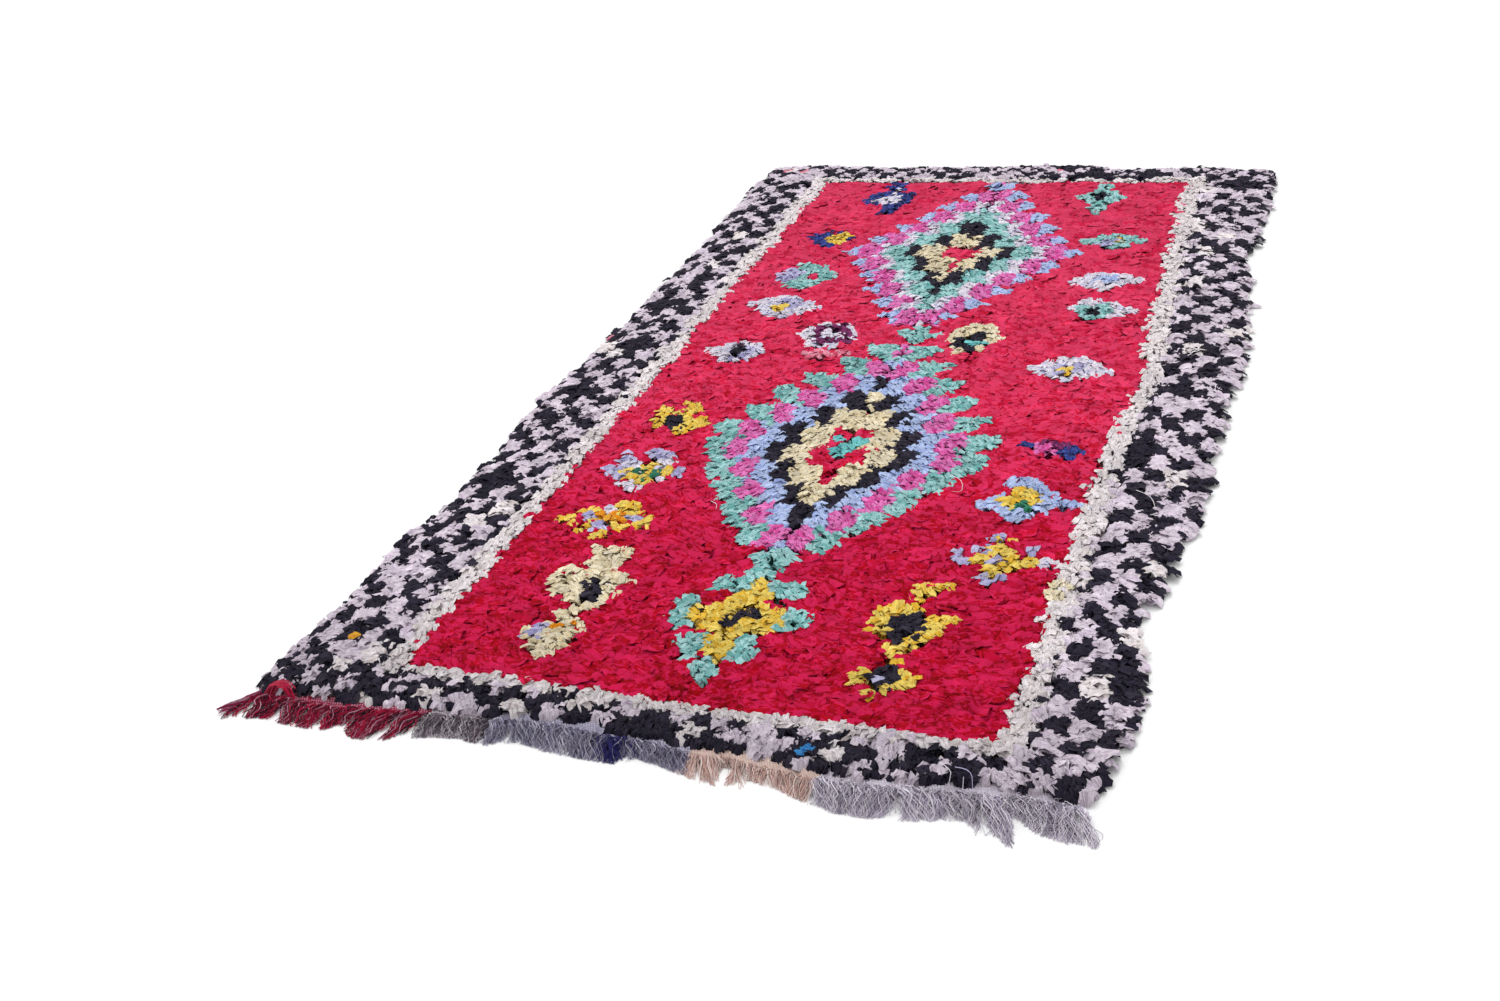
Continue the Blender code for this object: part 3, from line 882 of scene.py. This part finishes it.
def cloth_material(name, look):
    """Matte cloth in the piece's own colours, with soft blotches, broad ones that stand in for
    painted shade, painted shade in the creases, bumped creases and a fine weave.
    """
    material = bpy.data.materials.new(name)
    material.use_nodes = True
    nodes, links = material.node_tree.nodes, material.node_tree.links

    def fill(made, inputs):
        """Sets each input of a node to a value, or links it to an output."""
        for key, value in inputs.items():
            if isinstance(value, bpy.types.NodeSocket):
                links.new(value, made.inputs[key])
            else:
                made.inputs[key].default_value = value

    def node(kind, inputs, **settings):
        """The outputs of a new node."""
        made = nodes.new("ShaderNode" + kind)
        for key, value in settings.items():
            setattr(made, key, value)
        fill(made, inputs)
        return made.outputs

    def math(operation, *values, clamp=False):
        inputs = dict(enumerate(values))
        return node("Math", inputs, operation=operation, use_clamp=clamp)["Value"]

    def blotches(place, blotch):
        noise = node("TexNoise", {"Vector": place, "Scale": blotch.scale, "Detail": blotch.detail})
        return node("MapRange", {
            "Value": noise["Fac"], "From Min": BLOTCH_FROM, "From Max": BLOTCH_TO,
            "To Min": blotch.dark, "To Max": blotch.light,
        })["Result"]

    cloth = node("Attribute", {}, attribute_name="cloth")
    place = node("TexCoord", {})["Object"]
    both = math("MULTIPLY", blotches(place, SMALL_BLOTCH), blotches(place, BROAD_SHADE_BLOTCH))
    tint = node("VectorMath", {0: cloth["Color"], "Scale": both}, operation="SCALE")
    lie = node("Attribute", {}, attribute_name="lie")
    stretch = node("Mapping", {"Vector": lie["Vector"], "Scale": look.pleats})
    creases = node("TexNoise", {
        "Vector": stretch["Vector"], "Scale": 1 / look.crumple_size, "Detail": CREASE_DETAIL,
        "Roughness": CREASE_ROUGHNESS, "Distortion": CREASE_DISTORTION,
    })
    ridges = math("PINGPONG", creases["Fac"], FOLD_HEIGHT)
    # Painted shade in the creases: where the crease ridges lie below the share in the colour's
    # alpha, a gamma darkens the colour
    edge = math("MULTIPLY", cloth["Alpha"], FOLD_HEIGHT)
    under = math("SUBTRACT", edge, ridges)
    crease_shade_mask = math("MULTIPLY", under, FOLD_SHARPNESS, clamp=True)
    shade_gamma = math("MULTIPLY_ADD", crease_shade_mask, CREASE_SHADE_DEPTH, 1.0)
    shaded = node("Gamma", {"Color": tint["Vector"], "Gamma": shade_gamma})
    bump = node("Bump", {"Strength": 1.0, "Distance": look.crumple, "Height": ridges})
    weave = node("TexWave", {
        "Vector": place, "Scale": THREAD_SCALE, "Distortion": THREAD_DISTORTION,
    })
    fine = node("Bump", {
        "Strength": THREAD_STRENGTH, "Distance": THREAD_DEPTH, "Height": weave["Fac"],
        "Normal": bump["Normal"],
    })
    fill(nodes["Principled BSDF"], {
        "Roughness": look.roughness, "Sheen Weight": look.sheen,
        "Sheen Roughness": SHEEN_ROUGHNESS, "Specular IOR Level": SPECULAR,
        "Base Color": shaded["Color"], "Normal": fine["Normal"],
    })
    return material


def dress(piece, material, slot, *nodes):
    """Gives a piece its material, attaches it to the root body and hides the CAD nodes that it
    stands for; the slot is not used.
    """
    piece.data.materials.append(material)
    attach(piece, "root")
    if nodes:
        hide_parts(*nodes)


def tuft_mound(x, y):
    """How much higher a border tuft's middle stands than its edge."""
    off_u, off_v, _, _ = tufts(x, y)
    from_middle = np.minimum(np.hypot(off_u, off_v), TUFT_MOUND_REACH)
    return TUFT_MOUND * (1 - TUFT_MOUND_FALL * from_middle**2)


def no_mound(x, y):
    return 0 * x


def motif_mound(x, y):
    return 0 * x + MOTIF_MOUND


def build_pile(slab, rng):
    """The rag pile: wide strips in the red field, fine ones in the motifs and the border."""
    x, y = knot_places(slab, rng)
    own_cloth, in_field, in_line, motif_at = design(x, y)
    heading = strip_headings(x, y, in_field, in_line, motif_at, rng)
    shown_x = x + SHOWN_AT * WIDE_STRIP.length * np.cos(heading)
    shown_y = y + SHOWN_AT * WIDE_STRIP.length * np.sin(heading)
    cloth, in_field, in_line, motif_at = design(shown_x, shown_y)
    wide = cloth == CODE["red"]
    share = np.ones(len(x))
    for aside in (-BESIDE, BESIDE):
        beside, *_ = design(shown_x - aside * np.sin(heading), shown_y + aside * np.cos(heading))
        share = np.where(wide & (beside != cloth), NARROWER, share)
    settled = own_cloth == cloth
    left = ~in_field & ~in_line & (shown_x < FIELD_LEFT)
    right = ~in_field & ~in_line & (shown_x > field_right(shown_y))
    ends = ~in_field & ~in_line & ~left & ~right
    groups = (
        ("pile_field_near", WIDE_STRIP, wide & (y < FIELD_SPLIT), "rag_field", no_mound),
        ("pile_field_far", WIDE_STRIP, wide & (y >= FIELD_SPLIT), "rag_field", no_mound),
        ("pile_motifs", FINE_STRIP, in_field & ~wide, "rag_motifs", motif_mound),
        ("pile_line", FINE_STRIP, in_line, "rag_motifs", motif_mound),
        ("pile_border_left", TUFT_STRIP, left, "rag_border", tuft_mound),
        ("pile_border_right", TUFT_STRIP, right, "rag_border", tuft_mound),
        ("pile_border_ends", TUFT_STRIP, ends, "rag_border", tuft_mound),
        ("pile_filling", FILL_STRIP, ~wide & settled, "rag_border", no_mound),
    )
    materials = {name: cloth_material(name, look) for name, look in RAG_LOOKS.items()}
    pieces = []
    for name, strip, chosen, material, mound_of in groups:
        piece = strip_mesh(
            name, strip, x[chosen], y[chosen], heading[chosen], share[chosen], slab,
            cloth[chosen], mound_of, rng,
        )
        dress(piece, materials[material], "rag_pile", "pile_slab")
        pieces.append(piece)
    return pieces


def build_ground_weave(slab):
    """The ground weave: a thin woven sheet on the floor, with the knots' colours in its back."""
    low, high = slab.low, slab.high
    columns = int((high[0] - low[0]) / WEAVE_CELL)
    rows = int((high[1] - low[1]) / WEAVE_CELL)
    xs, ys = np.linspace(low[0], high[0], columns + 1), np.linspace(low[1], high[1], rows + 1)
    grid_x, grid_y = (grid.ravel() for grid in np.meshgrid(xs, ys))
    quads = grid_quads(rows, columns)
    centre_x, centre_y = grid_x[quads].mean(axis=1), grid_y[quads].mean(axis=1)
    quads = quads[slab.well_inside(centre_x, centre_y, WEAVE_CELL * WEAVE_INSET)]
    used, quads = np.unique(quads, return_inverse=True)
    quads = quads.reshape(-1, 4)
    x, y = grid_x[used], grid_y[used]
    count = len(used)
    top = np.stack([x, y, np.full(count, WEAVE_TOP)], axis=1)
    bottom = np.stack([x, y, np.full(count, FLOOR_GAP)], axis=1)
    edges = np.stack([quads, np.roll(quads, -1, axis=1)], axis=-1).reshape(-1, 2)
    code = edges.min(axis=1) * count + edges.max(axis=1)
    _, first, uses = np.unique(code, return_index=True, return_counts=True)
    rim = edges[first[uses == 1]]
    walls = np.stack([rim[:, 1], rim[:, 0], rim[:, 0] + count, rim[:, 1] + count], axis=1)
    faces = np.concatenate([quads, quads[:, ::-1] + count, walls])
    share_x = (x - low[0]) / (high[0] - low[0]) * 0.46 + 0.02
    share_y = (y - low[1]) / (high[1] - low[1]) * 0.96 + 0.02
    uv = np.concatenate([
        np.stack([share_x, share_y], axis=1), np.stack([share_x + 0.5, share_y], axis=1),
    ])
    cloth, *_ = design(x, y)
    # Painted shade: the weave that shows between the strips takes the knots' shade colours, darker
    # still
    colour = linear([item.shade for item in CLOTHS])[cloth] * WEAVE_SHADE
    colour = np.concatenate([colour, np.full((count, 1), WEAVE_CREASE_SHADE)], axis=1)
    piece = mesh_object(
        "ground_weave", np.concatenate([top, bottom]), faces, uv, np.concatenate([colour, colour])
    )
    add_lie(piece, np.concatenate([top, bottom]))
    dress(piece, cloth_material("ground_weave", WEAVE_LOOK), "rag_pile", "pile_slab")
    return piece, len(quads) * (xs[1] - xs[0]) * (ys[1] - ys[0])


def tube_mesh_arrays(paths, radii):
    """Points and quads of many tubes, from their paths (tube, point, xyz) and radii."""
    count, points, _ = paths.shape
    ahead = np.gradient(paths, axis=1)
    ahead /= np.linalg.norm(ahead, axis=-1, keepdims=True) + 1e-9
    across = np.cross(ahead, np.array([0, 0, 1.0]))
    across /= np.linalg.norm(across, axis=-1, keepdims=True) + 1e-9
    up = np.cross(across, ahead)
    angles = np.linspace(0, 2 * np.pi, TUBE_SIDES + 1)
    ring = (
        across[:, :, None, :] * np.cos(angles)[None, None, :, None]
        + up[:, :, None, :] * np.sin(angles)[None, None, :, None]
    )
    verts = paths[:, :, None, :] + ring * radii[:, :, None, None]
    local = grid_quads(points - 1, TUBE_SIDES)
    per_tube = points * (TUBE_SIDES + 1)
    faces = (np.arange(count)[:, None, None] * per_tube + local[None]).reshape(-1, 4)
    return verts.reshape(-1, 3), faces, per_tube


def tube_uv(count, points, bottom):
    """UVs for each point of many tubes, a cell of its own for each, above that height."""
    cells = int(np.ceil(np.sqrt(count)))
    shape = (count, points, TUBE_SIDES + 1)
    inner_u = np.linspace(0.1, 0.9, TUBE_SIDES + 1)[None, None, :]
    inner_v = np.linspace(0.1, 0.9, points)[None, :, None]
    u = (np.arange(count)[:, None, None] % cells + inner_u) / cells
    v = bottom + (0.99 - bottom) * (np.arange(count)[:, None, None] // cells + inner_v) / cells
    return np.stack([np.broadcast_to(u, shape), np.broadcast_to(v, shape)], axis=-1).reshape(-1, 2)


def near_edge_of(slab, x):
    """Where the slab's near edge runs at places across the width."""
    x = np.clip(x, slab.low[0] + EDGE_MARGIN, slab.high[0] - EDGE_MARGIN)
    edge = np.full(len(x), slab.low[1])
    open_yet = np.ones(len(x), dtype=bool)
    for probe in np.arange(slab.low[1] - EDGE_PROBE, slab.low[1] + EDGE_SEARCH, EDGE_PROBE):
        hit = slab.heights(x[open_yet], np.full(open_yet.sum(), probe)) > 0
        found = np.flatnonzero(open_yet)[hit]
        edge[found] = probe
        open_yet[found] = False
    return edge


def web_edge(x):
    """Where the woven web ends and the loose yarns begin."""
    return np.interp(x, [item.x for item in WEB_EDGES], [item.y for item in WEB_EDGES])


def web_mesh(yarn, slab, low, high, rng):
    """The woven web of one run: places, faces, UVs and speckled colours of a thin closed strip."""
    columns = max(4, int((high[0] - low[0]) / WEB_CELL))
    xs = np.linspace(low[0], high[0], columns + 1)
    edge = near_edge_of(slab, xs)
    depth = edge + WEB_TUCK - np.minimum(web_edge(xs), edge - WEB_LEAST)
    rows = int(depth.mean() / WEB_CELL)
    share = np.linspace(0, 1, rows + 1)
    grid_x = np.repeat(xs[None, :], rows + 1, axis=0)
    grid_y = edge[None, :] + WEB_TUCK - share[:, None] * depth[None, :]
    wander = WEB_WANDER * smooth_noise(grid_x, grid_y, WEB_WANDER_CELL, 9)
    grid_y = grid_y + wander * share[:, None]
    row, column = np.arange(rows + 1)[:, None], np.arange(columns + 1)[None, :]
    check = (row % 2 == 0) & ((column + row // 2) % 2 == 0) & (rng.random(grid_x.shape) < WEB_DOTS)
    swell = WEB_SWELL * smooth_noise(grid_x, grid_y, WEB_SWELL_CELL, 8)
    top_z = WEB_TOP + WEB_RIPPLE * check + swell
    top = np.stack([grid_x, grid_y, top_z], axis=-1).reshape(-1, 3)
    bottom = top.copy()
    bottom[:, 2] = FLOOR_GAP
    quads = grid_quads(rows, columns)
    count = len(top)
    ring = np.concatenate([
        np.arange(columns),
        columns + np.arange(rows) * (columns + 1),
        rows * (columns + 1) + np.arange(columns, 0, -1),
        (rows - np.arange(rows)) * (columns + 1),
    ])
    after = np.roll(ring, -1)
    walls = np.stack([after, ring, ring + count, after + count], axis=1)
    faces = np.concatenate([quads, quads[:, ::-1] + count, walls])
    plain, pale = linear(yarn.colours[0]), linear(yarn.web)
    colour = np.where(check.ravel()[:, None] > 0, pale, WEB_GROUND * plain)
    colour = np.concatenate([colour, np.full((count, 1), YARN_CREASE_SHADE)], axis=1)
    u = np.repeat(np.linspace(0.01, 0.99, columns + 1)[None, :], rows + 1, axis=0).ravel()
    v = np.repeat(np.linspace(0.01, 0.11, rows + 1)[:, None], columns + 1, axis=1).ravel()
    uv = np.concatenate([np.stack([u, v], axis=1), np.stack([u, v + 0.13], axis=1)])
    return np.concatenate([top, bottom]), faces, uv, np.concatenate([colour, colour])


def strand_paths(yarn, slab, low, high, rng):
    """The loose yarns of one run: their paths, radii and colours."""
    strands = yarn.strands
    root_x = rng.uniform(low[0] + 0.001, high[0] - 0.001, strands)
    wander = CLUMP_WANDER * smooth_noise(root_x, 0 * root_x, CLUMP_WANDER_CELL, 7)
    clump = np.floor(root_x / yarn.clump + wander)
    luck = np.sin(clump * 12.9898 + 4.1) * 43.7
    sway = 2 * (luck - np.floor(luck)) - 1
    middle = (clump + 0.5 + CLUMP_SWAY * sway) * yarn.clump
    root_y = np.minimum(web_edge(root_x), near_edge_of(slab, root_x) - WEB_LEAST)
    root_y = root_y + rng.uniform(-0.001, 0.005, strands)
    tip_x = root_x + yarn.pull * (middle - root_x) + rng.normal(0, STRAY, strands)
    reach_x, reach_y = [item.x for item in REACHES], [item.y for item in REACHES]
    tip_y = np.interp(tip_x, reach_x, reach_y) + rng.exponential(SHORTFALL, strands) - OVERREACH
    tip_y = np.minimum(tip_y, root_y - SHORTEST)
    tip_x = tip_x + (root_y - tip_y) * (yarn.lean + SWAY_LEAN * sway)
    s = np.linspace(0, 1, STRAND_POINTS)[None, :]
    phase = rng.uniform(0, 2 * np.pi, (2, strands, 1))
    swing = np.minimum(1, 3 * s) * np.sin(s * 2 * yarn.turns + phase[0])
    path_x = root_x[:, None] + (tip_x - root_x)[:, None] * s + yarn.wave * swing
    path_y = root_y[:, None] + (tip_y - root_y)[:, None] * s
    path_y = path_y + 0.5 * yarn.wave * np.sin(s * 2 * yarn.turns + phase[1]) * s * (1 - s)
    loft = np.minimum(np.abs(rng.normal(0, yarn.fluff, strands)), LOFT_LIMIT)
    loft = loft[:, None] * np.sin(np.pi * s**0.8)
    path_z = WEB_TOP * (1 - s) + yarn.radius + FLOOR_GAP + loft
    colours = linear(yarn.colours)[rng.integers(0, len(yarn.colours), strands)]
    if yarn.node == "fringe_slate":
        navy = rng.random(strands) < np.exp(-(((root_x - NAVY_X) / NAVY_SPREAD) ** 2))
        colours[navy] = linear(NAVY)
    colours = colours * rng.normal(1, COLOUR_UNEVEN, strands)[:, None]
    colours = np.concatenate([colours, np.full((strands, 1), YARN_CREASE_SHADE)], axis=1)
    radii = yarn.radius * (1.15 - 0.45 * s) * rng.uniform(0.7, 1.2, strands)[:, None]
    return np.stack([path_x, path_y, path_z], axis=-1), radii, colours


def tassel_paths(rng):
    """The twisted tassel at the near end's left corner: paths, radii and colours of its yarns."""
    s = np.linspace(0, 1, STRAND_POINTS)[None, :]
    turn = rng.uniform(0, 2 * np.pi, TASSEL_YARNS)[:, None] + TASSEL_TURN * s
    spread = rng.uniform(0.3, 1, TASSEL_YARNS)[:, None] * (TASSEL_SPREAD + TASSEL_SPREAD * s**3)
    root, tip = np.array(TASSEL_ROOT), np.array(TASSEL_TIP)
    ahead = (tip - root) / np.linalg.norm(tip - root)
    length = np.linalg.norm(tip - root) * rng.uniform(0.82, 1, TASSEL_YARNS)[:, None]
    off = spread * np.cos(turn)
    path_x = root[0] + ahead[0] * length * s - ahead[1] * off
    path_y = root[1] + ahead[1] * length * s + ahead[0] * off
    path_z = TASSEL_HEIGHT + 0.6 * spread * np.sin(turn)
    colours = linear(TASSEL_COLOURS)[rng.integers(0, len(TASSEL_COLOURS), TASSEL_YARNS)]
    colours = np.concatenate([colours, np.full((TASSEL_YARNS, 1), YARN_CREASE_SHADE)], axis=1)
    radii = np.full((TASSEL_YARNS, STRAND_POINTS), TASSEL_RADIUS)
    return np.stack([path_x, path_y, path_z], axis=-1), radii, colours


def build_fringe(yarn, slab, rng):
    """One run of fringe: the woven web at the rug's near edge, and the loose yarns beyond it."""
    low, high = (np.array(corner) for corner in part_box(yarn.node))
    web_verts, web_faces, web_uv, web_colours = web_mesh(yarn, slab, low, high, rng)
    paths, radii, colours = strand_paths(yarn, slab, low, high, rng)
    if yarn is YARNS[0]:
        tassel = tassel_paths(rng)
        paths = np.concatenate([paths, tassel[0]])
        radii = np.concatenate([radii, tassel[1]])
        colours = np.concatenate([colours, tassel[2]])
    verts, faces, per_tube = tube_mesh_arrays(paths, radii)
    uv = tube_uv(len(paths), STRAND_POINTS, 0.27)
    piece = mesh_object(
        yarn.node.replace("fringe", "yarn"),
        np.concatenate([web_verts, verts]),
        np.concatenate([web_faces, faces + len(web_verts)]),
        np.concatenate([web_uv, uv]),
        np.concatenate([web_colours, np.repeat(colours, per_tube, axis=0)]),
    )
    add_lie(piece, np.concatenate([web_verts, verts]))
    dress(piece, cloth_material(yarn.slot, YARN_LOOK), yarn.slot, yarn.node)
    return piece


def corner_loops(rng):
    """The yarns that loop back over the pile at the near end's left corner."""
    places = np.array([LOOP.x, LOOP.y, LOOP.end_x, LOOP.end_y, LOOP.bow])
    strays = rng.normal(0, LOOP_STRAY, (LOOPS, len(places)))
    return tuple(Thread(LOOP.cloth, *(places + stray).tolist(), LOOP.radius) for stray in strays)


def build_threads(slab, rng):
    """A few loose threads of rag and loops of yarn that lie on the pile."""
    s = np.linspace(0, 1, THREAD_POINTS)
    threads = THREADS + corner_loops(rng)
    paths = []
    for thread in threads:
        across, along = thread.end_x - thread.x, thread.end_y - thread.y
        span = np.hypot(across, along)
        bend = thread.bow * np.sin(np.pi * s)
        x = thread.x + across * s - along / span * bend
        y = thread.y + along * s + across / span * bend
        loft = THREAD_LOFT if thread.radius == FINE_THREAD else LOOP_LOFT
        z = np.minimum(slab.heights(x, y) + loft, HIGHEST - thread.radius)
        paths.append(np.stack([x, y, z], axis=-1))
    paths = np.array(paths)
    radii = np.array([thread.radius for thread in threads])[:, None] * np.ones(THREAD_POINTS)
    verts, faces, per_tube = tube_mesh_arrays(paths, radii)
    colours = linear([CLOTHS[CODE[thread.cloth]].colour for thread in threads])
    colours = np.concatenate([colours, np.full((len(threads), 1), YARN_CREASE_SHADE)], axis=1)
    uv = tube_uv(len(threads), THREAD_POINTS, 0.0)
    piece = mesh_object("loose_threads", verts, faces, uv, np.repeat(colours, per_tube, axis=0))
    add_lie(piece, verts)
    dress(piece, cloth_material("loose_threads", YARN_LOOK), "rag_pile", "pile_slab")
    return piece


def build_stage():
    """A plain pale floor, soft studio light from above and beyond, and pale surroundings."""
    bpy.ops.mesh.primitive_plane_add(size=60, location=(0, 0, 0))
    floor = bpy.context.object
    floor.name = "floor"
    paint = bpy.data.materials.new("floor_paint")
    paint.use_nodes = True
    shader = paint.node_tree.nodes["Principled BSDF"]
    shader.inputs["Base Color"].default_value = (0.92, 0.92, 0.92, 1)
    shader.inputs["Roughness"].default_value = 0.9
    floor.data.materials.append(paint)

    world = bpy.data.worlds.new("surroundings")
    world.use_nodes = True
    world.node_tree.nodes["Background"].inputs["Color"].default_value = (1, 1, 1, 1)
    world.node_tree.nodes["Background"].inputs["Strength"].default_value = SKY_STRENGTH
    bpy.context.scene.world = world

    lamp = bpy.data.lights.new("soft_light", "SUN")
    lamp.energy = SUN_STRENGTH
    lamp.angle = SUN_ANGLE
    light = bpy.data.objects.new("soft_light", lamp)
    light.rotation_mode = "QUATERNION"
    light.rotation_quaternion = Vector(SUN_FROM).to_track_quat("Z", "Y")
    bpy.context.scene.collection.objects.link(light)
    bpy.context.scene.view_settings.view_transform = "Standard"


def build_camera():
    """The photograph's camera, which was held a little out of level."""
    data = bpy.data.cameras.new("camera")
    data.lens = CAMERA_LENS
    data.sensor_width = SENSOR_WIDTH
    camera = bpy.data.objects.new("camera", data)
    camera.location = CAMERA_PLACE
    look = Vector(CAMERA_AIM) - Vector(CAMERA_PLACE)
    camera.rotation_mode = "QUATERNION"
    camera.rotation_quaternion = look.to_track_quat("-Z", "Y") @ Quaternion((0, 0, 1), CAMERA_ROLL)
    bpy.context.scene.collection.objects.link(camera)
    bpy.context.scene.camera = camera


def main():
    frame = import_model()
    rng = np.random.default_rng(SEED)
    build_camera()
    build_stage()
    slab = Slab(frame["nodes"]["pile_slab"])
    weave, weave_area = build_ground_weave(slab)
    pieces = build_pile(slab, rng)
    pieces += [build_fringe(yarn, slab, rng) for yarn in YARNS]
    pieces.append(build_threads(slab, rng))


main()
